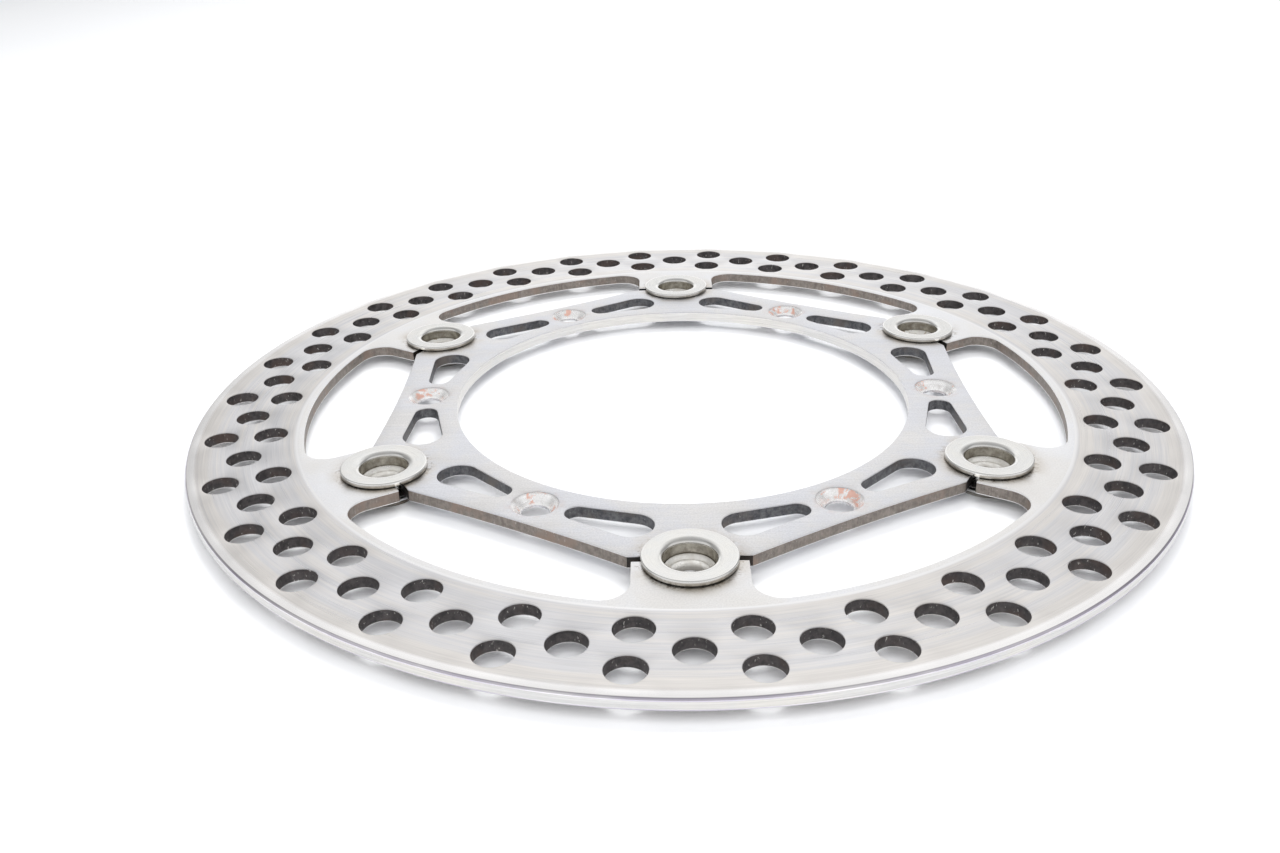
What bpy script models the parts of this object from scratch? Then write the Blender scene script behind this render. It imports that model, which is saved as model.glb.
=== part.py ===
"""Floating motorcycle brake disc: a drilled friction ring hung on a hexagonal carrier by six hollow buttons.

Units are metres. The disc lies flat with its outboard face up (+Z). The Z axis runs through the middle of
the hub bore, and z = 0 is the plane of the rivet flanges, the lowest faces of the disc. A button and the
lug that it holds point to -Y, and the others follow every sixty degrees.
"""

from math import acos, asin, atan2, cos, pi, radians, sin, sqrt

import bmesh
import bpy
from mathutils import Matrix, Vector

MM = 0.001

# Heights of the stack, from the rivet flanges up. Faces that would touch are kept GAP apart.
GAP = 0.3 * MM
PLATE_THICKNESS = 3.0 * MM  # friction ring and carrier alike
RIVET_FLANGE_THICKNESS = 0.8 * MM
FLAT_WASHER_THICKNESS = 0.6 * MM
WAVE_WASHER_THICKNESS = 0.3 * MM
WAVE_HEIGHT = 0.2 * MM  # from a trough to a crest of the spring washer
BUSH_FLANGE_THICKNESS = 1.1 * MM

FLAT_WASHER_Z = RIVET_FLANGE_THICKNESS + GAP
WAVE_WASHER_Z = FLAT_WASHER_Z + FLAT_WASHER_THICKNESS + GAP
PLATE_Z = WAVE_WASHER_Z + WAVE_WASHER_THICKNESS + WAVE_HEIGHT + GAP
PLATE_TOP = PLATE_Z + PLATE_THICKNESS
BUSH_FLANGE_Z = PLATE_TOP + GAP
BUSH_TOP = BUSH_FLANGE_Z + BUSH_FLANGE_THICKNESS
RIVET_TUBE_TOP = PLATE_TOP - 2.0 * MM  # the rivet's end shows inside the bush, below the ring's face

# Buttons
BUTTONS = 6
FIRST_BUTTON_ANGLE = radians(-90)
BUTTON_STEP = 2 * pi / BUTTONS
BUTTON_CIRCLE_RADIUS = 85.0 * MM
BUTTON_HOLE_RADIUS = 7.3 * MM  # half of it in a lug, half in the carrier
BUSH_FLANGE_RADIUS = 10.5 * MM
BUSH_SLEEVE_RADIUS = 7.0 * MM
BUSH_LIP_RADIUS = 7.4 * MM  # where the flange's face starts to roll over into the bore
BUSH_LIP_DEPTH = 1.0 * MM
BUSH_BORE_RADIUS = 5.8 * MM
BUSH_EDGE_CHAMFER = 0.3 * MM
RIVET_FLANGE_RADIUS = 9.0 * MM
RIVET_TUBE_RADIUS = BUSH_BORE_RADIUS - GAP
RIVET_BORE_RADIUS = 4.6 * MM
WASHER_INNER_RADIUS = RIVET_TUBE_RADIUS + 0.4 * MM
FLAT_WASHER_RADIUS = 9.5 * MM
WAVE_WASHER_RADIUS = 9.2 * MM
WAVES = 3

# Friction ring
RING_RADIUS = 130.0 * MM
RING_EDGE_CHAMFER = 0.5 * MM
WINDOW_RADIUS = 101.2 * MM  # the ring's inner arc, between the lugs
LUG_TIP_RADIUS = 85.5 * MM  # the lug's flat end, measured along the lug
LUG_HALF_WIDTH = 12.5 * MM
LUG_FILLET = 6.0 * MM
DRILLING_RADIUS = 4.25 * MM
DRILLINGS_IN_ROW = 30
DRILLING_STEP = 2 * pi / DRILLINGS_IN_ROW
DRILLING_ROWS = ((109.7 * MM, 0.5), (116.0 * MM, 0.0), (122.1 * MM, 0.5))  # row radius, offset in steps

# Carrier
HUB_BORE_RADIUS = 61.5 * MM
CARRIER_TIP_RADIUS = 83.5 * MM  # the flat end that faces a lug, measured along the lug
CARRIER_TIP_HALF_WIDTH = 13.4 * MM
CARRIER_SIDE_DISTANCE = 78.1 * MM  # from the axis to the middle of a side
SCREW_CIRCLE_RADIUS = 70.0 * MM
SCREW_HOLE_RADIUS = 3.3 * MM
COUNTERSINK_RADIUS = 5.65 * MM
# Each lightening slot is the hull of two circles, placed beside a lug's centre line: across, along, radius
SLOT_WIDE_END = (12.5 * MM, 70.6 * MM, 5.1 * MM)
SLOT_NARROW_END = (24.9 * MM, 65.1 * MM, 3.0 * MM)

CUT_MARGIN = 1.0 * MM  # how far a cutter runs past the plate
SMOOTH_ANGLE = radians(35)


def clear_scene():
    for obj in list(bpy.data.objects):
        bpy.data.objects.remove(obj, do_unlink=True)


def steel(name, colour, roughness):
    material = bpy.data.materials.new(name)
    material.use_nodes = True
    shader = material.node_tree.nodes["Principled BSDF"]
    shader.inputs["Base Color"].default_value = (*colour, 1.0)
    shader.inputs["Metallic"].default_value = 1.0
    shader.inputs["Roughness"].default_value = roughness
    material.diffuse_color = (*colour, 1.0)
    return material


def polar(radius, angle):
    return Vector((radius * cos(angle), radius * sin(angle)))


def arc(centre, radius, start, end, segments):
    """Points along an arc, both ends included."""
    return [centre + polar(radius, start + (end - start) * i / segments) for i in range(segments + 1)]


def turned_by(points, angle):
    turn = Matrix.Rotation(angle, 2)
    return [turn @ point for point in points]


def button_angles():
    return [FIRST_BUTTON_ANGLE + i * BUTTON_STEP for i in range(BUTTONS)]


def new_object(name, bm, material=None):
    """Gives the mesh to a new object, with its normals out and its round faces smooth."""
    bmesh.ops.recalc_face_normals(bm, faces=bm.faces)
    mesh = bpy.data.meshes.new(name)
    bm.to_mesh(mesh)
    bm.free()
    if material:
        mesh.materials.append(material)
    mesh.shade_smooth()
    mesh.set_sharp_from_angle(angle=SMOOTH_ANGLE)
    obj = bpy.data.objects.new(name, mesh)
    bpy.context.scene.collection.objects.link(obj)
    return obj


def prism(name, outline, low, high, material=None):
    """A plate between two heights, from a closed outline given in order."""
    bm = bmesh.new()
    face = bm.faces.new([bm.verts.new((point.x, point.y, low)) for point in outline])
    raised = bmesh.ops.extrude_face_region(bm, geom=[face])["geom"]
    verts = [item for item in raised if isinstance(item, bmesh.types.BMVert)]
    bmesh.ops.translate(bm, vec=(0, 0, high - low), verts=verts)
    return new_object(name, bm, material)


def turned(name, profile, segments, material=None, wave=0.0):
    """A closed profile of (radius, height) points spun around Z. A wave lifts and drops it as it goes round."""
    bm = bmesh.new()
    verts = [bm.verts.new((radius, 0, height)) for radius, height in profile]
    edges = [bm.edges.new((verts[i - 1], verts[i])) for i in range(len(verts))]
    bmesh.ops.spin(
        bm, geom=verts + edges, cent=(0, 0, 0), axis=(0, 0, 1), angle=2 * pi, steps=segments, use_merge=True
    )
    for vert in bm.verts:
        vert.co.z += wave / 2 * cos(WAVES * atan2(vert.co.y, vert.co.x))
    return new_object(name, bm, material)


def drill_bits(name, places, low, high, radius_low, radius_high, segments):
    """One cutter that holds a round bit at each place, straight or tapered."""
    bm = bmesh.new()
    for place in places:
        bmesh.ops.create_cone(
            bm,
            cap_ends=True,
            segments=segments,
            radius1=radius_low,
            radius2=radius_high,
            depth=high - low,
            matrix=Matrix.Translation((place.x, place.y, (low + high) / 2)),
        )
    return new_object(name, bm)


def through_bits(name, places, radius, segments):
    return drill_bits(
        name, places, PLATE_Z - CUT_MARGIN, PLATE_TOP + CUT_MARGIN, radius, radius, segments
    )


def machine(part, cutters):
    """Cuts the part with each cutter in turn, and leaves the part with the finished mesh."""
    for cutter in cutters:
        cutter.hide_render = True
        cutter.display_type = "WIRE"
        boolean = part.modifiers.new(cutter.name, "BOOLEAN")
        boolean.object = cutter
        boolean.operation = "DIFFERENCE"
        boolean.solver = "EXACT"
    bpy.context.view_layer.update()
    evaluated = part.evaluated_get(bpy.context.evaluated_depsgraph_get())
    finished = bpy.data.meshes.new_from_object(evaluated)
    part.modifiers.clear()
    part.data = finished
    finished.shade_smooth()
    finished.set_sharp_from_angle(angle=SMOOTH_ANGLE)
    for cutter in cutters:
        bpy.data.objects.remove(cutter, do_unlink=True)


def ring_opening():
    """The ring's inner outline: six arcs, and between them the lugs, which reach in to the buttons."""
    # A fillet touches the lug's side, which is parallel to the lug, and the window's arc from inside.
    across = LUG_HALF_WIDTH + LUG_FILLET
    along = sqrt((WINDOW_RADIUS - LUG_FILLET) ** 2 - across**2)
    touch = atan2(along, across)
    lug = [Vector((LUG_HALF_WIDTH, LUG_TIP_RADIUS))]
    lug += arc(Vector((across, along)), LUG_FILLET, pi, touch, 6)
    other_side = [Vector((-point.x, point.y)) for point in reversed(lug)]
    window_start = touch - pi / 2
    window_end = -BUTTON_STEP - window_start
    window = arc(Vector((0, 0)), WINDOW_RADIUS, pi / 2 + window_start, pi / 2 + window_end, 16)
    outline = []
    for angle in reversed(button_angles()):
        outline += turned_by(other_side + lug + window[1:-1], angle - pi / 2)
    return outline


def brake_ring(material):
    chamfer = RING_EDGE_CHAMFER
    blank = turned(
        "brake_ring",
        (
            (LUG_TIP_RADIUS - BUTTON_HOLE_RADIUS, PLATE_Z),
            (RING_RADIUS - chamfer, PLATE_Z),
            (RING_RADIUS, PLATE_Z + chamfer),
            (RING_RADIUS, PLATE_TOP - chamfer),
            (RING_RADIUS - chamfer, PLATE_TOP),
            (LUG_TIP_RADIUS - BUTTON_HOLE_RADIUS, PLATE_TOP),
        ),
        120,
        material,
    )
    cutters = [prism("ring_windows", ring_opening(), PLATE_Z - CUT_MARGIN, PLATE_TOP + CUT_MARGIN)]
    seats = [polar(BUTTON_CIRCLE_RADIUS, angle) for angle in button_angles()]
    cutters.append(through_bits("lug_seats", seats, BUTTON_HOLE_RADIUS, 32))
    drillings = [
        polar(radius, FIRST_BUTTON_ANGLE + (i + offset) * DRILLING_STEP)
        for radius, offset in DRILLING_ROWS
        for i in range(DRILLINGS_IN_ROW)
    ]
    cutters.append(through_bits("drillings", drillings, DRILLING_RADIUS, 12))
    machine(blank, cutters)
    return blank


def carrier_outline():
    """A hexagon with slightly hollow sides, cut off square where it meets each lug."""
    corner = Vector((CARRIER_TIP_HALF_WIDTH, CARRIER_TIP_RADIUS))
    # The side is an arc through both corners and through the side's middle, seen from the middle's direction.
    side_corner = turned_by([corner], BUTTON_STEP / 2)[0]
    half_chord, sagitta = abs(side_corner.x), side_corner.y - CARRIER_SIDE_DISTANCE
    side_radius = (half_chord**2 + sagitta**2) / (2 * sagitta)
    centre = Vector((0, CARRIER_SIDE_DISTANCE + side_radius))
    sweep = asin(half_chord / side_radius)
    side = turned_by(arc(centre, side_radius, -pi / 2 - sweep, -pi / 2 + sweep, 8), -BUTTON_STEP / 2)
    outline = []
    for angle in reversed(button_angles()):
        outline += turned_by(side, angle - pi / 2)
    return outline


def slot_outline(side):
    """The hull of a slot's two end circles. side is +1 or -1, for the slots on either side of a lug."""
    (wide_x, wide_y, wide), (narrow_x, narrow_y, narrow) = SLOT_WIDE_END, SLOT_NARROW_END
    run = Vector((narrow_x - wide_x, narrow_y - wide_y))
    heading = atan2(run.y, run.x)
    spread = acos((wide - narrow) / run.length)  # from the slot's centre line to where a straight side starts
    outline = arc(Vector((wide_x, wide_y)), wide, heading + spread, heading + 2 * pi - spread, 12)
    outline += arc(Vector((narrow_x, narrow_y)), narrow, heading - spread, heading + spread, 8)
    return [Vector((side * point.x, point.y)) for point in outline]


def carrier(material):
    plate = prism("carrier", carrier_outline(), PLATE_Z, PLATE_TOP, material)
    cutters = [through_bits("hub_bore", [Vector((0, 0))], HUB_BORE_RADIUS, 72)]
    seats = [polar(BUTTON_CIRCLE_RADIUS, angle) for angle in button_angles()]
    cutters.append(through_bits("carrier_seats", seats, BUTTON_HOLE_RADIUS, 32))
    screws = [polar(SCREW_CIRCLE_RADIUS, angle + BUTTON_STEP / 2) for angle in button_angles()]
    cutters.append(through_bits("screw_holes", screws, SCREW_HOLE_RADIUS, 16))
    # A ninety degree countersink: its radius falls by as much as its depth grows.
    depth = COUNTERSINK_RADIUS - SCREW_HOLE_RADIUS
    cutters.append(
        drill_bits(
            "countersinks",
            screws,
            PLATE_TOP - depth,
            PLATE_TOP + CUT_MARGIN,
            SCREW_HOLE_RADIUS,
            COUNTERSINK_RADIUS + CUT_MARGIN,
            16,
        )
    )
    for i, angle in enumerate(button_angles()):
        for side in (-1, 1):
            outline = turned_by(slot_outline(side), angle - pi / 2)
            name = f"slot_{i}_{side}"
            cutters.append(prism(name, outline, PLATE_Z - CUT_MARGIN, PLATE_TOP + CUT_MARGIN))
    machine(plate, cutters)
    return plate


def bush_profile():
    """Clockwise from the sleeve's lower outer edge: sleeve, flange, the lip that rolls into the bore."""
    edge = BUSH_EDGE_CHAMFER
    profile = [
        (BUSH_SLEEVE_RADIUS, PLATE_Z),
        (BUSH_SLEEVE_RADIUS, BUSH_FLANGE_Z),
        (BUSH_FLANGE_RADIUS, BUSH_FLANGE_Z),
        (BUSH_FLANGE_RADIUS, BUSH_TOP - edge),
        (BUSH_FLANGE_RADIUS - edge, BUSH_TOP),
    ]
    lip_width = BUSH_LIP_RADIUS - BUSH_BORE_RADIUS
    for i in range(4):
        turn = radians(90) * i / 3
        profile.append((BUSH_LIP_RADIUS - lip_width * sin(turn), BUSH_TOP - BUSH_LIP_DEPTH * (1 - cos(turn))))
    profile.append((BUSH_BORE_RADIUS, PLATE_Z))
    return profile


def rivet_profile():
    """A flat flange below, and a tube whose rolled end closes the bush's bore down to the rivet's own."""
    rim = (RIVET_TUBE_RADIUS - RIVET_BORE_RADIUS) / 2
    profile = [
        (RIVET_BORE_RADIUS, 0),
        (RIVET_FLANGE_RADIUS, 0),
        (RIVET_FLANGE_RADIUS, RIVET_FLANGE_THICKNESS),
        (RIVET_TUBE_RADIUS, RIVET_FLANGE_THICKNESS),
    ]
    for i in range(5):
        turn = pi * i / 4
        profile.append((RIVET_TUBE_RADIUS - rim * (1 - cos(turn)), RIVET_TUBE_TOP - rim * (1 - sin(turn))))
    return profile


def washer_profile(outer_radius, low, thickness):
    high = low + thickness
    return [(WASHER_INNER_RADIUS, low), (outer_radius, low), (outer_radius, high), (WASHER_INNER_RADIUS, high)]


def button(number, angle, bush_steel, rivet_steel, washer_steel, spring_steel):
    """The pieces of one button, on an empty that stands on the axis that the button turns about."""
    axle = bpy.data.objects.new(f"button_axis_{number}", None)
    axle.location = (*polar(BUTTON_CIRCLE_RADIUS, angle), 0)
    axle.rotation_euler.z = angle
    bpy.context.scene.collection.objects.link(axle)
    flat = washer_profile(FLAT_WASHER_RADIUS, FLAT_WASHER_Z, FLAT_WASHER_THICKNESS)
    wave = washer_profile(WAVE_WASHER_RADIUS, WAVE_WASHER_Z + WAVE_HEIGHT / 2, WAVE_WASHER_THICKNESS)
    pieces = (
        turned(f"button_bush_{number}", bush_profile(), 20, bush_steel),
        turned(f"button_rivet_{number}", rivet_profile(), 16, rivet_steel),
        turned(f"flat_washer_{number}", flat, 20, washer_steel),
        turned(f"wave_washer_{number}", wave, 24, spring_steel, wave=WAVE_HEIGHT),
    )
    for piece in pieces:
        piece.parent = axle


def main():
    clear_scene()
    brake_ring(steel("ground_stainless_steel", (0.72, 0.70, 0.68), 0.28))
    carrier(steel("satin_carrier_steel", (0.66, 0.66, 0.69), 0.36))
    finishes = (
        steel("nickel_plated_bush", (0.74, 0.73, 0.69), 0.22),
        steel("plated_rivet", (0.68, 0.66, 0.60), 0.32),
        steel("zinc_washer", (0.62, 0.63, 0.64), 0.35),
        steel("spring_steel", (0.40, 0.40, 0.42), 0.40),
    )
    for number, angle in enumerate(button_angles(), start=1):
        button(number, angle, *finishes)


main()
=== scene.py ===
"""Looks of the floating brake disc: fine plates, turned buttons, steel finishes and the studio."""

from math import acos, asin, atan2, cos, pi, radians, sin, sqrt

import bmesh
import bpy
from mathutils import Matrix, Vector


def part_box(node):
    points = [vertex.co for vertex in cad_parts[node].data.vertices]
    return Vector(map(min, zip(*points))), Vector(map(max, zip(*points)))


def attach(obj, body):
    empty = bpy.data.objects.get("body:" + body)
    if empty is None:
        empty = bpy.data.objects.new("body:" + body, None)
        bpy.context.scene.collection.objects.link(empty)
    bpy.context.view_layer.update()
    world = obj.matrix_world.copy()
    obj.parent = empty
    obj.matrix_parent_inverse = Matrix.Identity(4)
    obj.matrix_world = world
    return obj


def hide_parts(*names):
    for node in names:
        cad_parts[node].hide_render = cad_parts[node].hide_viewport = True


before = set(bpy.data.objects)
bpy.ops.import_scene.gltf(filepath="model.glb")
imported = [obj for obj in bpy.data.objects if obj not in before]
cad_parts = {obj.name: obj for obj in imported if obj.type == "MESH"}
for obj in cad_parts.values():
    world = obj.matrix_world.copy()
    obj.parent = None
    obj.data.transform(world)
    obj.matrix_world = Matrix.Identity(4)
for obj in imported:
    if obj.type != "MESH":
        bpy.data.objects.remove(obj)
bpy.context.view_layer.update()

# ---------------------------------------------------------------- sizes

MM = 0.001
ring_low, ring_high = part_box("brake_ring")
bush_low, bush_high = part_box("button_bush_1")
rivet_low, rivet_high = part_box("button_rivet_1")
flat_low, flat_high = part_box("flat_washer_1")
wave_low, wave_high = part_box("wave_washer_1")

CENTRE = Vector((0, 0))
PLATE_LOW, PLATE_TOP = ring_low.z, ring_high.z
RING_RADIUS = ring_high.x

BUTTONS = 6
STEP = 2 * pi / BUTTONS
BUTTON_ANGLES = [radians(-90) + i * STEP for i in range(BUTTONS)]
SCREW_ANGLES = [angle + STEP / 2 for angle in BUTTON_ANGLES]
BUTTON_CIRCLE = 85.0 * MM
SEAT_RADIUS = 7.3 * MM
FLANGE_RADIUS = 10.5 * MM

WINDOW_RADIUS = 101.2 * MM
LUG_TIP = 85.5 * MM
LUG_HALF_WIDTH = 12.5 * MM
LUG_FILLET = 6.0 * MM
DRILLING_RADIUS = 4.25 * MM
DRILLINGS_IN_ROW = 30
DRILLING_ROWS = ((109.7 * MM, 0.5), (116.0 * MM, 0.0), (122.1 * MM, 0.5))  # radius, turn in steps
RIM_CHAMFER = 0.38 * MM
TRACK_INNER = 103.3 * MM  # where the pads' ground track starts
SEAM_RADIUS = TRACK_INNER - 0.5 * MM  # where the lugs' finish takes over on the flat faces

HUB_BORE = 61.5 * MM
CARRIER_TIP = 83.5 * MM
CARRIER_TIP_HALF_WIDTH = 13.4 * MM
CARRIER_SIDE = 78.1 * MM
GAP_DEPTH = 8.0 * MM  # how far in from the carrier's tips its walls still face a button's gap
SCREW_CIRCLE = 70.0 * MM
SCREW_HOLE = 3.3 * MM
COUNTERSINK = 5.65 * MM
SLOT_WIDE = (12.5 * MM, 70.6 * MM, 5.1 * MM)  # x, y and radius of a slot's wide end
SLOT_NARROW = (24.9 * MM, 65.1 * MM, 3.0 * MM)

EDGE = 0.13 * MM  # how far an edge is broken
RIM_SOFTNESS = 0.09 * MM
COUNTERSINK_SOFTNESS = 0.08 * MM
SHARP_ANGLE = radians(38)
WALL_SHARE = 0.3  # of the profile's tallest step: a lower one is an edge, and keeps the first finish
WAVES = 3  # crests around a wave washer
WAVE_HEIGHT = 0.2 * MM

# Straight pieces to each circle or arc
SEGMENTS = {
    "rim": 480,
    "seam": 240,
    "window": 60,
    "lug_fillet": 18,
    "seat": 32,
    "drilling": 40,
    "hub_bore": 240,
    "carrier_side": 40,
    "screw_hole": 48,
    "slot_wide": 30,
    "slot_narrow": 18,
    "bush": 128,
    "rivet": 112,
    "washer": 96,
}


# ---------------------------------------------------------------- outlines


def polar(radius, angle):
    return Vector((radius * cos(angle), radius * sin(angle)))


def arc(centre, radius, start, end, segments):
    return [centre + polar(radius, start + (end - start) * i / segments) for i in range(segments + 1)]


def turned_by(points, angle):
    turn = Matrix.Rotation(angle, 2)
    return [turn @ point for point in points]


def signed_area(points):
    return sum(points[i - 1].cross(points[i]) for i in range(len(points))) / 2


def outer(points):
    """Counterclockwise, so that the steel lies to the left."""
    return points if signed_area(points) > 0 else points[::-1]


def inner(points):
    """Clockwise, for a hole."""
    return points if signed_area(points) < 0 else points[::-1]


def circle(centre, radius, segments):
    return arc(centre, radius, 0, 2 * pi, segments)[:-1]


def ring_opening():
    """The ring's inner outline: six lugs with half-round seats, and the windows' outer arcs between them."""
    across = LUG_HALF_WIDTH + LUG_FILLET
    along = sqrt((WINDOW_RADIUS - LUG_FILLET) ** 2 - across**2)
    touch = atan2(along, across)
    side = [Vector((LUG_HALF_WIDTH - EDGE, LUG_TIP)), Vector((LUG_HALF_WIDTH, LUG_TIP + EDGE))]
    side += arc(Vector((across, along)), LUG_FILLET, pi, touch, SEGMENTS["lug_fillet"])
    other_side = [Vector((-point.x, point.y)) for point in reversed(side)]
    drop = asin((LUG_TIP - BUTTON_CIRCLE) / SEAT_RADIUS)
    seat = arc(Vector((0, BUTTON_CIRCLE)), SEAT_RADIUS, pi - drop, drop, SEGMENTS["seat"])
    window_start = touch - pi / 2
    window_end = pi / 2 - STEP - window_start
    window = arc(CENTRE, WINDOW_RADIUS, pi / 2 + window_start, window_end, SEGMENTS["window"])
    points = []
    for angle in reversed(BUTTON_ANGLES):
        points += turned_by(other_side + seat + side + window[1:-1], angle - pi / 2)
    return inner(points)


def carrier_outline():
    """A hexagon with hollow sides, and a half-round seat in each flat tip."""
    corner = Vector((CARRIER_TIP_HALF_WIDTH, CARRIER_TIP))
    side_corner = turned_by([corner], STEP / 2)[0]
    half_chord, sagitta = abs(side_corner.x), side_corner.y - CARRIER_SIDE
    radius = (half_chord**2 + sagitta**2) / (2 * sagitta)
    sweep = asin(half_chord / radius)
    centre = Vector((0, CARRIER_SIDE + radius))
    side = arc(centre, radius, -pi / 2 - sweep, -pi / 2 + sweep, SEGMENTS["carrier_side"])
    side = turned_by(side, -STEP / 2)
    rise = asin((BUTTON_CIRCLE - CARRIER_TIP) / SEAT_RADIUS)
    seat = arc(Vector((0, BUTTON_CIRCLE)), SEAT_RADIUS, pi + rise, 2 * pi - rise, SEGMENTS["seat"])
    points = []
    for angle in reversed(BUTTON_ANGLES):
        points += turned_by(seat + side, angle - pi / 2)
    return outer(points)


def slot_outline(mirror):
    """A tapered slot: two round ends and their common tangents."""
    (wide_x, wide_y, wide), (narrow_x, narrow_y, narrow) = SLOT_WIDE, SLOT_NARROW
    run = Vector((narrow_x - wide_x, narrow_y - wide_y))
    heading = atan2(run.y, run.x)
    spread = acos((wide - narrow) / run.length)
    wide_turns = heading + spread, heading + 2 * pi - spread
    points = arc(Vector((wide_x, wide_y)), wide, *wide_turns, SEGMENTS["slot_wide"])
    narrow_turns = heading - spread, heading + spread
    points += arc(Vector((narrow_x, narrow_y)), narrow, *narrow_turns, SEGMENTS["slot_narrow"])
    return [Vector((mirror * point.x, point.y)) for point in points]


# ---------------------------------------------------------------- edge profiles: (inset, height) upwards


def rounded_corner(radius=EDGE, steps=3):
    """(inset, distance from the flat face) along a quarter round, from the face to the wall."""
    turns = [radians(90) * i / steps for i in range(steps + 1)]
    return [(radius * (1 - sin(t)), radius * (1 - cos(t))) for t in turns]


def broken_edge(low, high):
    """Both edges rounded."""
    corner = rounded_corner()
    profile = [(inset, low + rise) for inset, rise in corner]
    profile += [(0, low + 1.5 * EDGE), (0, high - 1.5 * EDGE)]
    return profile + [(inset, high - drop) for inset, drop in reversed(corner)]


def rim_edge(low, high):
    """A chamfer on both edges, with softened corners."""
    c, e = RIM_CHAMFER, RIM_SOFTNESS
    half = [(c + e, low), (c + 0.3 * e, low + 0.1 * e), (c - 0.4 * e, low + 0.5 * e)]
    half += [(0.5 * e, low + c - 0.4 * e), (0.1 * e, low + c + 0.3 * e)]
    half += [(0, low + c + e), (0, low + c + 3 * e)]
    return half + [(inset, high + low - z) for inset, z in reversed(half)]


def countersunk_edge(low, high):
    """A rounded lower edge, a straight neck and a 90 degree cone that opens upwards."""
    depth = COUNTERSINK - SCREW_HOLE
    neck = high - depth
    e = COUNTERSINK_SOFTNESS
    profile = [(inset, low + rise) for inset, rise in rounded_corner()]
    profile += [(0, low + 1.5 * EDGE), (0, neck - 1.5 * EDGE)]
    profile += [(0, neck - e), (0.3 * e, neck + 0.3 * e)]
    return profile + [(depth - 1.5 * e, high - 1.5 * e), (depth - 0.4 * e, high - 0.5 * e), (depth + e, high)]


# ---------------------------------------------------------------- meshes


def inset_loop(points, distance):
    """The loop moved to its left, into the steel, with mitred corners."""
    moved = []
    for i, point in enumerate(points):
        before = (point - points[i - 1]).normalized()
        after = (points[(i + 1) % len(points)] - point).normalized()
        first, second = Vector((-before.y, before.x)), Vector((-after.y, after.x))
        moved.append(point + (first + second) * distance / (1 + first.dot(second)))
    return moved


def finish_mesh(name, bm, materials, origin=(0, 0, 0)):
    mesh = bpy.data.meshes.new(name)
    bm.to_mesh(mesh)
    bm.free()
    for material in materials:
        mesh.materials.append(material)
    mesh.set_sharp_from_angle(angle=SHARP_ANGLE)
    obj = bpy.data.objects.new(name, mesh)
    obj.location = origin
    bpy.context.scene.collection.objects.link(obj)
    return obj


def add_wall(bm, points, profile, finish, slots):
    """Sweeps the profile along the loop, and returns its lowest and its highest row of corners."""
    rows = []
    for distance, height in profile:
        shifted = inset_loop(points, distance) if distance else points
        rows.append([bm.verts.new((point.x, point.y, height)) for point in shifted])
    rises = [above[1] - below[1] for below, above in zip(profile, profile[1:])]
    for k, rise in enumerate(rises):
        is_wall = rise > WALL_SHARE * max(rises)
        for i in range(len(points)):
            j = (i + 1) % len(points)
            face = bm.faces.new((rows[k][i], rows[k][j], rows[k + 1][j], rows[k + 1][i]))
            face.smooth = True
            if is_wall:
                middle = (points[i] + points[j]) / 2
                face.material_index = slots.index(finish(middle) if callable(finish) else finish)
    return rows[0], rows[-1]


def fill_flat(bm, edges, up, slot):
    """Fills the face between closed rows of edges: up is 1 on top and -1 below."""
    filled = bmesh.ops.triangle_fill(bm, use_beauty=True, edges=edges, normal=(0, 0, up))["geom"]
    for face in filled:
        if isinstance(face, bmesh.types.BMFace):
            face.normal_update()
            if face.normal.z * up < 0:
                face.normal_flip()
            face.smooth = False
            face.material_index = slot


def plate(name, loops, finishes, face, inside_face=None, seam=None):
    """A plate from closed loops. Each loop has its points, its edge profile, its wall's finish, and
    whether it lies inside the seam, the circle that parts two finishes on the flat faces."""
    bm = bmesh.new()
    slots = list(finishes)
    rims = {(side, inside): [] for side in ("low", "high") for inside in (False, True)}
    for points, profile, finish, inside in loops:
        for side, row in zip(("low", "high"), add_wall(bm, points, profile, finish, slots)):
            rims[side, inside] += [bm.edges.get((row[i - 1], row[i])) for i in range(len(row))]
    if seam:
        for side, height in (("low", PLATE_LOW), ("high", PLATE_TOP)):
            row = [bm.verts.new((point.x, point.y, height)) for point in seam]
            edges = [bm.edges.new((row[i - 1], row[i])) for i in range(len(row))]
            rims[side, False] += edges
            rims[side, True] += edges
    for (side, inside), edges in rims.items():
        if edges:
            fill_flat(bm, edges, 1 if side == "high" else -1, slots.index(inside_face if inside else face))
    return finish_mesh(name, bm, finishes.values())


def in_gap(point):
    """Whether a wall faces the gap between a lug, the carrier and their button."""
    button_angle = round((atan2(point.y, point.x) - BUTTON_ANGLES[0]) / STEP) * STEP + BUTTON_ANGLES[0]
    along = point.dot(polar(1.0, button_angle))
    beside = abs(point.cross(polar(1.0, button_angle)))
    at_tip = beside < CARRIER_TIP_HALF_WIDTH + EDGE and CARRIER_TIP - GAP_DEPTH < along < LUG_TIP + EDGE
    return at_tip or (point - polar(BUTTON_CIRCLE, button_angle)).length < SEAT_RADIUS + EDGE


def gap_or(finish):
    """A wall's finish by its place: the gap's painted shade where it faces one, and else the one given."""
    return lambda point: "gap" if in_gap(point) else finish


def turned(name, profile, segments, origin, material, wave=0.0):
    """A closed (radius, height) profile, in millimetres, spun around the vertical through its origin."""
    bm = bmesh.new()
    rows = []
    for i in range(segments):
        angle = 2 * pi * i / segments
        lift = wave / 2 * cos(WAVES * angle)
        row = [(r * MM * cos(angle), r * MM * sin(angle), z * MM + lift) for r, z in profile]
        rows.append([bm.verts.new(place) for place in row])
    for i in range(segments):
        for k in range(len(profile)):
            corners = (rows[i - 1][k - 1], rows[i][k - 1], rows[i][k], rows[i - 1][k])
            bm.faces.new(corners).smooth = True
    bmesh.ops.recalc_face_normals(bm, faces=bm.faces)
    return finish_mesh(name, bm, (material,), origin)


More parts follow.
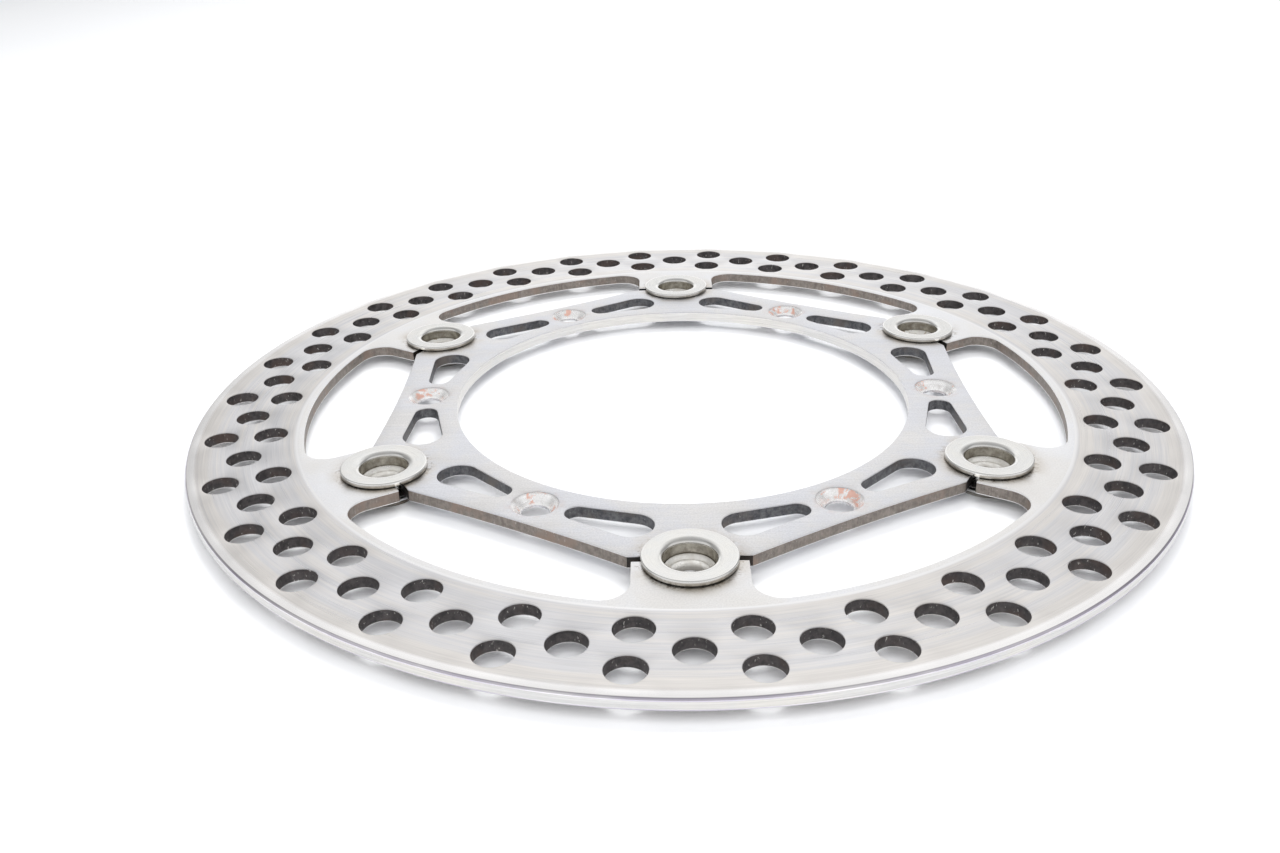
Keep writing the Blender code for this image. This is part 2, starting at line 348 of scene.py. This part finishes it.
# ---------------------------------------------------------------- node graphs


class Graph:
    """Adds nodes to a tree, one call to a node, and joins them."""

    def __init__(self, tree):
        self.tree = tree
        tree.nodes.clear()

    def node(self, kind, inputs=None, **settings):
        """Each input is another node's output, to be linked, or a constant."""
        made = self.tree.nodes.new(kind)
        for key, value in settings.items():
            setattr(made, key, value)
        for socket, value in (inputs or {}).items():
            if isinstance(value, bpy.types.NodeSocket):
                self.tree.links.new(value, made.inputs[socket])
            else:
                made.inputs[socket].default_value = value
        return made

    def math(self, operation, a, b=0.0, c=0.0):
        return self.node("ShaderNodeMath", {0: a, 1: b, 2: c}, operation=operation).outputs[0]

    def times(self, a, b):
        return self.math("MULTIPLY", a, b)

    def times_plus(self, value, factor, base):
        """value * factor + base"""
        return self.math("MULTIPLY_ADD", value, factor, base)

    def sway(self, noise, amount, base):
        """The base, moved up and down by a noise around 0.5."""
        return self.times_plus(self.math("SUBTRACT", noise, 0.5), amount, base)

    def vector(self, operation, a, b=(0, 0, 0)):
        made = self.node("ShaderNodeVectorMath", {0: a, 1: b}, operation=operation)
        return made.outputs["Value" if operation in ("LENGTH", "DISTANCE") else "Vector"]

    def split(self, vector):
        return self.node("ShaderNodeSeparateXYZ", {0: vector}).outputs[:3]

    def combine(self, *parts):
        return self.node("ShaderNodeCombineXYZ", dict(enumerate(parts))).outputs[0]

    def mapped(self, vector, **inputs):
        return self.node("ShaderNodeMapping", {"Vector": vector, **inputs}).outputs[0]

    def noise(self, vector, scale, detail=3.0, roughness=0.5, distortion=0.0):
        inputs = {"Vector": vector, "Scale": scale, "Detail": detail, "Roughness": roughness}
        inputs["Distortion"] = distortion
        return self.node("ShaderNodeTexNoise", inputs).outputs["Fac"]

    def range(self, value, low, high, to_low=0.0, to_high=1.0):
        """Maps low..high smoothly to to_low..to_high, and holds the ends."""
        inputs = dict(enumerate((value, low, high, to_low, to_high)))
        return self.node("ShaderNodeMapRange", inputs, interpolation_type="SMOOTHSTEP").outputs[0]

    def blend(self, factor, a, b):
        """From one colour to another by the factor."""
        a, b = (value if isinstance(value, bpy.types.NodeSocket) else (*value, 1.0) for value in (a, b))
        return self.node("ShaderNodeMix", {0: factor, 6: a, 7: b}, data_type="RGBA").outputs[2]

    def brighten(self, colour, factor):
        """The colour times a number."""
        return self.vector("MULTIPLY", colour, self.combine(factor, factor, factor))


def surface(name):
    """A new material: its graph and the object coordinates that its patterns use."""
    material = bpy.data.materials.new(name)
    material.use_nodes = True
    graph = Graph(material.node_tree)
    place = graph.node("ShaderNodeTexCoord").outputs["Object"]
    return material, graph, place


def shade(
    graph, colour, roughness, height=None, metallic=1.0, depth=0.02 * MM, strength=0.3, anisotropic=0.0
):
    """The shader, with a bump where a height is given and circular brushing where it is anisotropic."""
    inputs = {"Base Color": colour, "Roughness": roughness, "Metallic": metallic}
    if anisotropic:
        inputs["Anisotropic"] = anisotropic
        inputs["Tangent"] = graph.node("ShaderNodeTangent", direction_type="RADIAL", axis="Z").outputs[0]
    if height is not None:
        bump = {"Height": height, "Distance": depth, "Strength": strength}
        inputs["Normal"] = graph.node("ShaderNodeBump", bump).outputs[0]
    shader = graph.node("ShaderNodeBsdfPrincipled", inputs)
    graph.node("ShaderNodeOutputMaterial", {0: shader.outputs[0]})


def around_axis(graph, place):
    """Distance from the Z axis, height, and a maker of vectors whose noise runs along circles."""
    flat = graph.vector("MULTIPLY", place, (1, 1, 0))
    radius = graph.vector("LENGTH", flat)
    east, north, _ = graph.split(graph.vector("NORMALIZE", flat))
    height = graph.split(place)[2]

    def streak(across, along, drop=0.0, shift=0.0):
        """Noise cells per metre across the circles and down the axis, and per radian along them."""
        return graph.combine(
            graph.times_plus(radius, across, shift),
            graph.times(east, along),
            graph.times_plus(north, along, graph.times(height, drop)),
        )

    return radius, height, streak


def nearest(graph, place, circle_radius, angles):
    """Distance, in plan, to the nearest of several points on a circle."""
    flat = graph.vector("MULTIPLY", place, (1, 1, 0))
    found = None
    for angle in angles:
        away = graph.vector("DISTANCE", flat, (*polar(circle_radius, angle), 0))
        found = away if found is None else graph.math("MINIMUM", found, away)
    return found


# ---------------------------------------------------------------- steel of the plates


def under_flange(graph, place, colour, grime_colour):
    """Painted shade under the bush flanges, and brown grime where they keep the wipe away."""
    away = nearest(graph, place, BUTTON_CIRCLE, BUTTON_ANGLES)
    specks = graph.range(graph.noise(place, 1100.0, 4.0, 0.75), 0.49, 0.62)
    near = graph.range(away, FLANGE_RADIUS + 0.1 * MM, FLANGE_RADIUS + 2.2 * MM, 1.0, 0.0)
    colour = graph.blend(graph.times(graph.times(near, specks), 0.75), colour, grime_colour)
    patch = graph.range(graph.noise(place, 120.0, 4.0, 0.6), 0.35, 0.62)
    smear = graph.times(graph.range(away, FLANGE_RADIUS, FLANGE_RADIUS + 4.6 * MM, 0.50, 0.0), patch)
    colour = graph.blend(smear, colour, (0.60, 0.53, 0.44))
    # Painted shade: darker steel under the flange's rim, where the flange shades the plate
    painted_flange_shade = graph.range(away, FLANGE_RADIUS - 1.6 * MM, FLANGE_RADIUS - 0.2 * MM, 0.7, 0.0)
    return graph.blend(painted_flange_shade, colour, (0.20, 0.17, 0.14))


def ring_steel():
    """The pads' track: fine circular scratches, warm bands, and a brighter margin at the rim."""
    material, graph, place = surface("ground_stainless_steel")
    radius, _, streak = around_axis(graph, place)
    fine = graph.noise(streak(3600, 7), 1.0, 4.0, 0.7)
    scratch = graph.noise(streak(1000, 2.2, shift=40), 1.0, 4.0, 0.68)
    band = graph.noise(streak(420, 1.3, shift=90), 1.0, 4.0, 0.65)
    cloud = graph.noise(place, 26.0, 4.0, 0.65)

    # Two worn bands, broad streaks and the cloud make the warm tint
    inner_band = graph.range(radius, 103.4 * MM, 104.6 * MM)
    inner_band = graph.times(inner_band, graph.range(radius, 105.8 * MM, 107.8 * MM, 1.0, 0.0))
    outer_band = graph.range(radius, 123.2 * MM, 125.2 * MM)
    wear_and_painted_highlight = graph.times_plus(inner_band, 0.20, graph.times(outer_band, 0.34))
    tint = graph.times_plus(cloud, 0.9, graph.times_plus(band, 0.9, wear_and_painted_highlight))
    warm = graph.range(graph.sway(scratch, 0.9, tint), 0.72, 1.26)
    track = graph.blend(warm, (0.716, 0.709, 0.720), (0.756, 0.725, 0.693))

    # Scratches of three widths
    light = graph.sway(fine, 0.36, 1.0)
    light = graph.sway(scratch, 0.42, light)
    light = graph.sway(band, 0.26, light)
    track = graph.brighten(track, light)

    # The margin that the pads leave, and the heat-blued chamfer
    margin = graph.range(graph.times_plus(cloud, 0.8 * MM, radius), 127.6 * MM, 128.6 * MM)
    track = graph.blend(graph.times(margin, 0.85), track, (0.92, 0.905, 0.895))
    blued = graph.range(radius, 129.58 * MM, 129.66 * MM)
    blued = graph.times(blued, graph.range(cloud, 0.38, 0.62, 0.35, 1.0))
    track = graph.blend(blued, track, (0.58, 0.545, 0.62))

    # The narrow bright strip between the seam and the track
    edge = graph.times_plus(cloud, 0.6 * MM, TRACK_INNER - 0.3 * MM)
    in_track = graph.range(graph.math("SUBTRACT", radius, edge), -0.2 * MM, 0.6 * MM)
    colour = graph.blend(in_track, (0.90, 0.89, 0.885), track)

    rough = graph.times_plus(margin, -0.12, graph.range(scratch, 0.25, 0.75, 0.26, 0.36))
    relief = graph.times_plus(scratch, 0.6, fine)
    shade(graph, colour, rough, relief, strength=0.16, anisotropic=0.6)
    return material


def rolled_steel():
    """Inside the track, the lugs keep the sheet's rolled face."""
    material, graph, place = surface("rolled_stainless_steel")
    grain = graph.noise(place, 2600.0, 3.0, 0.7)
    cloud = graph.noise(place, 34.0, 4.0, 0.65)
    colour = graph.blend(graph.range(cloud, 0.35, 0.65), (0.865, 0.865, 0.88), (0.875, 0.855, 0.83))
    colour = graph.brighten(colour, graph.range(grain, 0.2, 0.8, 0.90, 1.06))
    colour = under_flange(graph, place, colour, (0.27, 0.23, 0.18))
    rough = graph.range(cloud, 0.3, 0.7, 0.30, 0.38)
    shade(graph, colour, rough, grain, strength=0.18)
    return material


def carrier_steel():
    """Satin sheet with a faint straight grain, and old thread-lock around the countersinks."""
    material, graph, place = surface("satin_carrier_steel")
    grain = graph.noise(place, 2400.0, 3.0, 0.7)
    cloud = graph.noise(place, 60.0, 5.0, 0.65)
    stretched = graph.mapped(place, Rotation=(0, 0, 0.35), Scale=(60, 2600, 60))
    lines = graph.noise(stretched, 1.0, 3.0, 0.65)
    colour = graph.blend(graph.range(cloud, 0.38, 0.62), (0.755, 0.758, 0.788), (0.825, 0.81, 0.80))
    colour = graph.brighten(colour, graph.sway(lines, 0.22, graph.range(grain, 0.2, 0.8, 0.88, 1.10)))
    colour = under_flange(graph, place, colour, (0.22, 0.19, 0.15))

    screw = nearest(graph, place, SCREW_CIRCLE, SCREW_ANGLES)
    patches = graph.noise(place, 330.0, 5.0, 0.7, 0.5)
    smudge = graph.times(graph.range(screw, 5.5 * MM, 8.0 * MM, 1.0, 0.0), graph.range(patches, 0.45, 0.62))
    colour = graph.blend(graph.times(smudge, 0.28), colour, (0.66, 0.50, 0.45))

    rough = graph.range(cloud, 0.3, 0.7, 0.34, 0.44)
    relief = graph.times_plus(lines, 0.5, grain)
    shade(graph, colour, rough, relief, strength=0.18)
    return material


def countersink_steel():
    """Bright turned cones where the screw heads bore, with red thread-lock left on them."""
    material, graph, place = surface("countersink_steel")
    screw = nearest(graph, place, SCREW_CIRCLE, SCREW_ANGLES)
    ringed = graph.combine(graph.times(screw, 2400.0), graph.noise(place, 90.0))
    turning = graph.noise(ringed, 1.0, 4.0, 0.7)
    smears = graph.noise(place, 420.0, 5.0, 0.7, 0.8)
    colour = graph.blend(graph.range(turning, 0.35, 0.62), (0.80, 0.79, 0.78), (0.98, 0.975, 0.97))
    colour = graph.blend(graph.range(smears, 0.52, 0.66, 0.0, 0.55), colour, (0.56, 0.52, 0.50))
    patches = graph.noise(place, 300.0, 4.0, 0.65, 0.6)
    stained = graph.times(graph.range(patches, 0.55, 0.60), graph.range(screw, 3.4 * MM, 4.0 * MM))
    colour = graph.blend(graph.times(stained, 0.72), colour, (0.80, 0.38, 0.27))
    rough = graph.times_plus(stained, 0.25, graph.range(smears, 0.3, 0.7, 0.18, 0.34))
    relief = graph.times_plus(stained, 2.0, turning)
    shade(graph, colour, rough, relief, metallic=0.65, strength=0.25)
    return material


def cut_wall(name, dark, light, rust, striation, specks):
    """The wall of a drilling or of a cut through the plate: scaly, and streaked from face to face."""
    material, graph, place = surface(name)
    lines = graph.noise(graph.mapped(place, Scale=(1, 1, 0.08)), 2300.0, 3.0, 0.7)
    scale = graph.noise(place, 650.0, 5.0, 0.75)
    patch = graph.noise(place, 110.0, 3.0, 0.6)
    mixed = graph.times_plus(lines, striation, graph.times(scale, 1.0 - striation))
    colour = graph.blend(graph.range(mixed, 0.36, 0.66), dark, light)
    colour = graph.blend(graph.times(graph.range(patch, 0.48, 0.68), 0.8), colour, rust)
    slanted = graph.mapped(place, Rotation=(0.9, 0.6, 0.0), Scale=(1, 1, 0.45))
    dots = graph.range(graph.noise(slanted, 1900.0, 3.0, 0.65), 0.63, 0.71)
    colour = graph.blend(graph.times(dots, specks), colour, (0.62, 0.59, 0.56))
    relief = graph.times_plus(lines, striation * 2, scale)
    rough = graph.range(scale, 0.3, 0.7, 0.42, 0.68)
    shade(graph, colour, rough, relief, metallic=0.45, depth=0.06 * MM, strength=0.6)
    return material


def turned_steel(name):
    """A wall turned on a lathe, with fine lines around it."""
    material, graph, place = surface(name)
    _, _, streak = around_axis(graph, place)
    lines = graph.noise(streak(200, 5, drop=2600), 1.0, 4.0, 0.7)
    cloud = graph.noise(place, 60.0, 3.0, 0.6)
    colour = graph.blend(graph.range(cloud, 0.35, 0.65), (0.63, 0.622, 0.612), (0.665, 0.645, 0.61))
    colour = graph.brighten(colour, graph.range(lines, 0.25, 0.75, 0.82, 1.12))
    shade(graph, colour, graph.range(lines, 0.3, 0.7, 0.26, 0.40), lines, strength=0.2)
    return material


# ---------------------------------------------------------------- steel of the buttons, each its own pattern


def bush_steel(number):
    """Bright nickel plate, darker patches low on the flange's side, and brown film in the bore."""
    material, graph, place = surface(f"nickel_plated_bush_{number}")
    radius, height, streak = around_axis(graph, place)
    shifted = graph.mapped(place, Location=(0.31 * number, 0.17 * number, 0.05))
    turning = graph.noise(streak(2600, 3, drop=1500, shift=11.0 * number), 1.0, 4.0, 0.65)
    cloud = graph.noise(shifted, 160.0, 4.0, 0.6)
    pits = graph.range(graph.noise(shifted, 1300.0, 3.0, 0.65), 0.66, 0.74)
    colour = graph.blend(graph.range(cloud, 0.35, 0.65), (0.79, 0.785, 0.765), (0.81, 0.795, 0.76))
    colour = graph.brighten(colour, graph.range(turning, 0.25, 0.75, 0.96, 1.03))
    colour = graph.blend(graph.times(pits, 0.22), colour, (0.42, 0.38, 0.32))

    # The flange's upper edge gets a painted highlight, and its side a painted shade, duller and warmer
    wear_and_painted_highlight = graph.times(graph.range(radius, 9.9 * MM, 10.3 * MM), graph.range(height, 6.6 * MM, 6.9 * MM))
    colour = graph.blend(graph.times(wear_and_painted_highlight, 0.8), colour, (0.96, 0.95, 0.92))
    # Painted shade on the flange's side
    side = graph.times(graph.range(radius, 10.3 * MM, 10.45 * MM), graph.range(height, 6.8 * MM, 6.6 * MM))
    colour = graph.blend(graph.times(side, 0.6), colour, (0.66, 0.62, 0.55))

    # The bore below the rolled lip holds brown film
    inside = graph.times(
        graph.range(height, 6.4 * MM, 5.9 * MM, 0.0, 1.0), graph.range(radius, 6.4 * MM, 6.0 * MM, 0.0, 1.0)
    )
    film = graph.noise(shifted, 420.0, 5.0, 0.7)
    stain = graph.blend(graph.range(film, 0.35, 0.65), (0.24, 0.21, 0.165), (0.52, 0.49, 0.42))
    colour = graph.blend(graph.times(inside, 0.9), colour, stain)

    # Darker patches on the lower part of the flange's side
    low_side_dark_patches = graph.times(graph.range(height, 6.8 * MM, 6.1 * MM), graph.range(radius, 10.1 * MM, 10.4 * MM))
    low_side_dark_patches = graph.times(low_side_dark_patches, graph.range(film, 0.40, 0.62))
    colour = graph.blend(graph.times(low_side_dark_patches, 0.8), colour, (0.26, 0.23, 0.18))

    rough = graph.times_plus(inside, 0.20, graph.range(turning, 0.25, 0.75, 0.15, 0.21))
    relief = graph.times_plus(film, graph.times(inside, 3.0), turning)
    shade(graph, colour, rough, relief, strength=0.07)
    return material


def rivet_steel(number):
    """Dull yellowish plate with a few rusty spots, and painted shade towards the table."""
    material, graph, place = surface(f"plated_rivet_{number}")
    _, height, streak = around_axis(graph, place)
    shifted = graph.mapped(place, Location=(0.23 * number, 0.41 * number, 0.11))
    turning = graph.noise(streak(2400, 3, drop=2400, shift=7.0 * number), 1.0, 4.0, 0.65)
    film = graph.noise(shifted, 330.0, 5.0, 0.7)
    colour = graph.blend(graph.range(film, 0.35, 0.65), (0.94, 0.925, 0.885), (0.80, 0.77, 0.71))
    colour = graph.brighten(colour, graph.range(turning, 0.25, 0.75, 0.90, 1.06))
    rust = graph.range(graph.noise(shifted, 240.0, 3.0, 0.6), 0.62, 0.70)
    colour = graph.blend(graph.times(rust, 0.7), colour, (0.36, 0.24, 0.10))
    # Painted shade: darker towards the table, low in the bush and under the plate
    painted_low_shade = graph.range(height, 2.4 * MM, 0.8 * MM, 0.0, 0.8)
    colour = graph.blend(painted_low_shade, colour, (0.16, 0.145, 0.125))
    rough = graph.range(film, 0.3, 0.7, 0.26, 0.42)
    shade(graph, colour, rough, film, metallic=0.75, strength=0.2)
    return material


def washer_steel(name, number, pale, dull, smoothest, roughest):
    """Plain washer steel, mottled between two colours and faintly turned."""
    material, graph, place = surface(f"{name}_{number}")
    _, _, streak = around_axis(graph, place)
    shifted = graph.mapped(place, Location=(0.37 * number, 0.29 * number, 0.07))
    turning = graph.noise(streak(2000, 4, drop=2000, shift=5.0 * number), 1.0, 4.0, 0.65)
    film = graph.noise(shifted, 260.0, 5.0, 0.7)
    colour = graph.blend(graph.range(film, 0.35, 0.65), pale, dull)
    colour = graph.brighten(colour, graph.range(turning, 0.25, 0.75, 0.88, 1.06))
    shade(graph, colour, graph.range(film, 0.3, 0.7, smoothest, roughest), turning, strength=0.2)
    return material


# ---------------------------------------------------------------- the two plates

drilled = cut_wall(
    "drilled_wall",
    dark=(0.050, 0.046, 0.047),
    light=(0.125, 0.113, 0.112),
    rust=(0.115, 0.082, 0.070),
    striation=0.08,
    specks=1.0,
)
sawn = cut_wall(
    "laser_cut_wall",
    dark=(0.145, 0.123, 0.108),
    light=(0.30, 0.267, 0.238),
    rust=(0.26, 0.192, 0.155),
    striation=0.25,
    specks=0.5,
)
slotted = cut_wall(
    "slot_wall",
    dark=(0.060, 0.062, 0.068),
    light=(0.19, 0.190, 0.198),
    rust=(0.15, 0.128, 0.112),
    striation=0.15,
    specks=0.3,
)
# Near-black walls: painted shade where the walls face the narrow gaps around the buttons
painted_gap_shade = cut_wall(
    "gap_wall_painted_shade",
    dark=(0.008, 0.007, 0.007),
    light=(0.035, 0.03, 0.027),
    rust=(0.03, 0.02, 0.015),
    striation=0.2,
    specks=0.2,
)
edge_profile = broken_edge(PLATE_LOW, PLATE_TOP)


def ring_plate():
    """The friction ring, with the sheet's rolled face inside the pads' track."""
    finishes = {
        "track": ring_steel(),
        "drilling": drilled,
        "window": sawn,
        "rim": turned_steel("turned_rim_steel"),
        "gap": painted_gap_shade,
        "lug": rolled_steel(),
    }
    rim = outer(circle(CENTRE, RING_RADIUS, SEGMENTS["rim"]))
    loops = [(rim, rim_edge(PLATE_LOW, PLATE_TOP), "rim", False)]
    loops.append((ring_opening(), edge_profile, gap_or("window"), True))
    for radius, offset in DRILLING_ROWS:
        for i in range(DRILLINGS_IN_ROW):
            place = polar(radius, BUTTON_ANGLES[0] + (i + offset) * 2 * pi / DRILLINGS_IN_ROW)
            hole = inner(circle(place, DRILLING_RADIUS, SEGMENTS["drilling"]))
            loops.append((hole, edge_profile, "drilling", False))
    seam = circle(CENTRE, SEAM_RADIUS, SEGMENTS["seam"])
    return plate("disc_ring", loops, finishes, "track", "lug", seam)


def carrier_plate():
    """The hexagonal carrier, with its bore, countersunk screw holes and mirrored pairs of slots."""
    finishes = {
        "sheet": carrier_steel(),
        "side": sawn,
        "slot": slotted,
        "gap": painted_gap_shade,
        "bore": turned_steel("turned_bore_steel"),
        "cone": countersink_steel(),
    }
    loops = [(carrier_outline(), edge_profile, gap_or("side"), False)]
    bore = inner(circle(CENTRE, HUB_BORE, SEGMENTS["hub_bore"]))
    loops.append((bore, edge_profile, "bore", False))
    for angle in SCREW_ANGLES:
        hole = inner(circle(polar(SCREW_CIRCLE, angle), SCREW_HOLE, SEGMENTS["screw_hole"]))
        loops.append((hole, countersunk_edge(PLATE_LOW, PLATE_TOP), "cone", False))
    for angle in BUTTON_ANGLES:
        for mirror in (-1, 1):
            slot = inner(turned_by(slot_outline(mirror), angle - pi / 2))
            loops.append((slot, edge_profile, "slot", False))
    return plate("disc_carrier", loops, finishes, "sheet")


ring = ring_plate()
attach(ring, "friction_ring")
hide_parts("brake_ring")

hub_carrier = carrier_plate()
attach(hub_carrier, "carrier")
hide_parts("carrier")

# ---------------------------------------------------------------- the buttons, in millimetres


def rounding(centre_r, centre_z, radius, start, end, steps):
    """Points of a quarter round in a turned profile, in degrees from the outward direction."""
    turns = [radians(start + (end - start) * i / steps) for i in range(steps + 1)]
    return [(centre_r + radius * cos(t), centre_z + radius * sin(t)) for t in turns]


def bush_profile():
    """A sleeve in the seats, a flange with rounded edges, and a lip rolled down into the bore."""
    low, top = bush_low.z / MM, bush_high.z / MM
    bore, sleeve, flange = 5.8, 7.0, FLANGE_RADIUS / MM
    under = PLATE_TOP / MM + 0.22  # the flange's lower face
    bevel, lower_round, upper_round = 0.2, 0.16, 0.40
    profile = [(bore, low + bevel), (bore + bevel, low), (sleeve - bevel, low), (sleeve, low + bevel)]
    profile += [(sleeve, under - 0.05), (sleeve, under), (flange - 0.30, under), (flange - 0.20, under)]
    profile += rounding(flange - lower_round, under + lower_round, lower_round, -90, 0, 4)
    profile += [(flange, under + 0.24), (flange, top - 0.50)]
    profile += rounding(flange - upper_round, top - upper_round, upper_round, 0, 78, 7)
    profile += [(flange - 0.62, top - 0.004), (flange - 0.9, top), (7.9, top), (7.62, top - 0.004)]

    lip_start, lip_top, lip_depth, steps = 7.45, top - 0.01, 0.99, 10
    for i in range(steps + 1):
        turn = radians(90) * i / steps
        profile.append((lip_start - (lip_start - bore) * sin(turn), lip_top - lip_depth * (1 - cos(turn))))
    return profile + [(bore, top - 1.15)]


def rivet_profile():
    """A flat foot, a tube through the bush, and a mouth that opens at the top."""
    low, top = rivet_low.z / MM, rivet_high.z / MM
    bore, tube, waist, foot = 4.5, 5.7, 5.5, 9.0
    bevel, foot_top, lip_round = 0.15, low + 0.8, 0.15
    profile = [(bore, low + bevel), (bore + bevel, low), (foot - bevel, low), (foot, low + bevel)]
    profile += [(foot, foot_top - 0.18), (foot - 0.18, foot_top), (waist, foot_top), (waist, low + 2.6)]
    profile += [(tube - 0.02, low + 2.8), (tube, top - 0.25)]
    profile += rounding(tube - lip_round, top - lip_round, lip_round, 0, 100, 4)
    mouth = ((5.30, 0.09), (4.98, 0.36), (4.80, 0.56), (4.68, 0.66), (4.56, 0.80), (bore, 1.0), (bore, 1.2))
    return profile + [(radius, top - depth) for radius, depth in mouth]


def washer_profile(inner_radius, outer_radius, low, high):
    """A flat ring with bevelled edges."""
    bevel = 0.12
    profile = [(inner_radius, low + bevel), (inner_radius + bevel, low)]
    profile += [(outer_radius - bevel, low), (outer_radius, low + bevel)]
    profile += [(outer_radius, high - bevel), (outer_radius - bevel, high)]
    return profile + [(inner_radius + bevel, high), (inner_radius, high - bevel)]


WASHER_BORE, FLAT_WASHER_RADIUS, WAVE_WASHER_RADIUS = 5.9, 9.5, 9.2
flat_profile = washer_profile(WASHER_BORE, FLAT_WASHER_RADIUS, flat_low.z / MM, flat_high.z / MM)
wave_bottom, wave_top = (wave_low.z + WAVE_HEIGHT / 2) / MM, (wave_high.z - WAVE_HEIGHT / 2) / MM
wave_profile = washer_profile(WASHER_BORE, WAVE_WASHER_RADIUS, wave_bottom, wave_top)

for number, angle in enumerate(BUTTON_ANGLES, start=1):
    origin = (*polar(BUTTON_CIRCLE, angle), 0)
    zinc = washer_steel("zinc_washer", number, (0.66, 0.67, 0.68), (0.50, 0.49, 0.46), 0.32, 0.48)
    spring = washer_steel("spring_steel", number, (0.34, 0.33, 0.34), (0.20, 0.18, 0.17), 0.34, 0.50)
    pieces = (
        ("bush", bush_profile(), "bush", bush_steel(number), 0, f"button_bush_{number}", "bush_plate"),
        ("rivet", rivet_profile(), "rivet", rivet_steel(number), 0, f"button_rivet_{number}", "rivet_plate"),
        ("flat_ring", flat_profile, "washer", zinc, 0, f"flat_washer_{number}", "washer_zinc"),
        ("wave_ring", wave_profile, "washer", spring, WAVE_HEIGHT, f"wave_washer_{number}", "spring_steel"),
    )
    for kind, profile, fineness, material, wave, node, slot in pieces:
        piece = turned(f"{kind}_{number}", profile, SEGMENTS[fineness], origin, material, wave)
        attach(piece, f"button_{number}")
        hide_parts(node)

# ---------------------------------------------------------------- studio

TABLE_SIZE = 6.0
TABLE_SETBACK = 1.6  # how far the table's middle lies behind the disc


def table():
    bpy.ops.mesh.primitive_grid_add(
        x_subdivisions=8, y_subdivisions=8, size=TABLE_SIZE, location=(0, TABLE_SETBACK, 0)
    )
    floor = bpy.context.object
    floor.name = "table"
    material, graph, place = surface("white_table")
    soft = graph.noise(place, 3.0, 2.0, 0.5)
    colour = graph.blend(graph.range(soft, 0.3, 0.7), (0.925, 0.935, 0.955), (0.94, 0.948, 0.96))
    shade(graph, colour, graph.range(soft, 0.3, 0.7, 0.28, 0.34), metallic=0.0)
    floor.data.materials.append(material)


def softbox(name, position, size, power):
    """A soft light aimed at the disc. It lights what isn't wholly metallic, and no gloss mirrors it."""
    data = bpy.data.lights.new(name, "AREA")
    data.shape = "RECTANGLE"
    data.size, data.size_y = size
    data.energy = power
    lamp = bpy.data.objects.new(name, data)
    lamp.location = position
    lamp.rotation_euler = (-Vector(position)).to_track_quat("-Z", "Y").to_euler()
    lamp.visible_glossy = False
    lamp.visible_camera = False
    bpy.context.scene.collection.objects.link(lamp)


def room():
    """A pale studio: a bright back wall between grey side walls, under a dimmer ceiling."""
    world = bpy.data.worlds.new("studio")
    bpy.context.scene.world = world
    world.use_nodes = True
    graph = Graph(world.node_tree)
    x, y, z = graph.split(graph.node("ShaderNodeTexCoord").outputs["Generated"])
    back = graph.range(y, -0.2, 0.9, 0.82, 1.13)
    ceiling = graph.range(z, 0.60, 0.95, 1.0, 0.55)
    low_wall = graph.range(z, 0.30, 0.58, 0.78, 1.0)
    horizon = graph.range(z, 0.24, 0.36, 1.35, 1.0)
    side = graph.range(graph.math("ABSOLUTE", graph.math("SUBTRACT", x, 0.05)), 0.28, 0.66, 1.0, 0.42)
    only_behind = graph.range(y, -0.15, 0.2)
    side = graph.times_plus(graph.math("SUBTRACT", side, 1.0), only_behind, 1.0)
    level = graph.times(graph.times(back, ceiling), graph.times(low_wall, side))
    level = graph.times(level, horizon)
    background = graph.node("ShaderNodeBackground", {0: (0.985, 0.99, 1.0, 1.0), 1: level})
    graph.node("ShaderNodeOutputWorld", {0: background.outputs[0]})


table()
room()
softbox("key", position=(0.05, 0.60, 1.32), size=(0.75, 0.6), power=11.0)
softbox("fill", position=(0.1, -0.6, 1.2), size=(1.8, 1.2), power=14.0)

CAMERA_PLACE = Vector((-5.387, -291.217, 139.038)) * MM
CAMERA_HEADING, CAMERA_TILT, CAMERA_ROLL = radians(1.22749), radians(63.72482), radians(-1.46776)
SENSOR_WIDTH, FOCAL_LENGTH = 36.0, 32.553225

camera_data = bpy.data.cameras.new("camera")
camera_data.sensor_fit = "HORIZONTAL"
camera_data.sensor_width = SENSOR_WIDTH
camera_data.lens = FOCAL_LENGTH
camera_data.clip_start = 0.01
camera = bpy.data.objects.new("camera", camera_data)
bpy.context.scene.collection.objects.link(camera)
facing = Matrix.Rotation(CAMERA_HEADING, 4, "Z") @ Matrix.Rotation(CAMERA_TILT, 4, "X")
facing = facing @ Matrix.Rotation(CAMERA_ROLL, 4, "Z")
camera.matrix_world = Matrix.Translation(CAMERA_PLACE) @ facing
bpy.context.scene.camera = camera

bpy.context.scene.view_settings.view_transform = "Standard"
